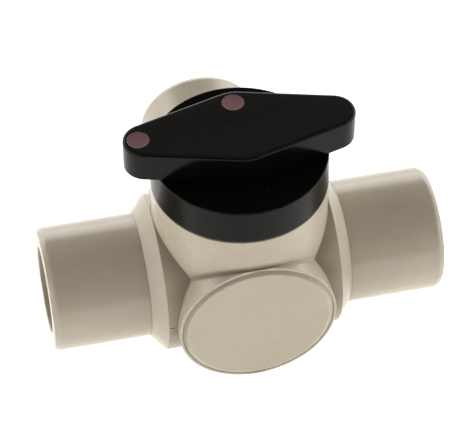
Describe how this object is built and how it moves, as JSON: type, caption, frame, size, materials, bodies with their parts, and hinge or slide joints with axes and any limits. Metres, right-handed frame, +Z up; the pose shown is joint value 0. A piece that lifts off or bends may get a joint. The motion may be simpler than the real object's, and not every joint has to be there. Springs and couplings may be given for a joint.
{
  "type": "three way ball valve",
  "caption": "Three way plastic ball valve with an L-ported ball, plain pipe spigots, a blanked front boss and a quarter-turn black lever handle on a round disc.",
  "frame": {"origin": "on the floor the valve stands on, under the middle of its outline; the run's, the branch port's and the stem's axes cross at the ball's centre, 9.3 mm towards -Y from it and 12.7 mm above it", "axes": "+Z up the stem to the handle, +X along the straight run to the right spigot, +Y along the back (branch) spigot, -Y the blanked front"},
  "size_m": [0.0638, 0.0478, 0.0433],
  "materials": {
    "housing_plastic": "moulded grey-beige polypropylene, satin",
    "connector_plastic": "turned and moulded grey-beige polypropylene, satin",
    "plug_plastic": "moulded grey-beige polypropylene, flat satin face",
    "seat_plastic": "white seat fluoropolymer, smooth",
    "seal_rubber": "black fluoroelastomer",
    "ball_plastic": "polished grey-beige polypropylene",
    "stem_plastic": "grey-beige polypropylene, turned",
    "disc_plastic": "black moulded polypropylene, glossy",
    "grip_plastic": "black moulded polypropylene, satin top with fine scratches",
    "marker_plastic": "mauve-brown moulded plugs",
    "screw_steel": "stainless steel"
  },
  "bodies": {
    "valve_body": {"housing": "housing_plastic", "left_connector": "connector_plastic", "right_connector": "connector_plastic", "back_connector": "connector_plastic", "closing_plug": "plug_plastic", "left_seat": "seat_plastic", "right_seat": "seat_plastic", "back_seat": "seat_plastic", "front_seat": "seat_plastic", "left_seat_ring": "seal_rubber", "right_seat_ring": "seal_rubber", "back_seat_ring": "seal_rubber", "front_seat_ring": "seal_rubber", "thrust_washer": "seat_plastic", "gland_bush": "plug_plastic"},
    "turning_set": {"ball": "ball_plastic", "stem": "stem_plastic", "lower_stem_ring": "seal_rubber", "upper_stem_ring": "seal_rubber", "handle_disc": "disc_plastic", "handle_grip": "grip_plastic", "tip_marker": "marker_plastic", "side_marker": "marker_plastic", "handle_screw": "screw_steel", "screw_washer": "screw_steel"}
  },
  "joints": [
    {"name": "handle_turn", "type": "hinge", "parent": "valve_body", "child": "turning_set", "pos_m": [0, -0.00925, 0.01271], "axis": [0, 0, 1], "range_deg": [-90, 0]}
  ]
}
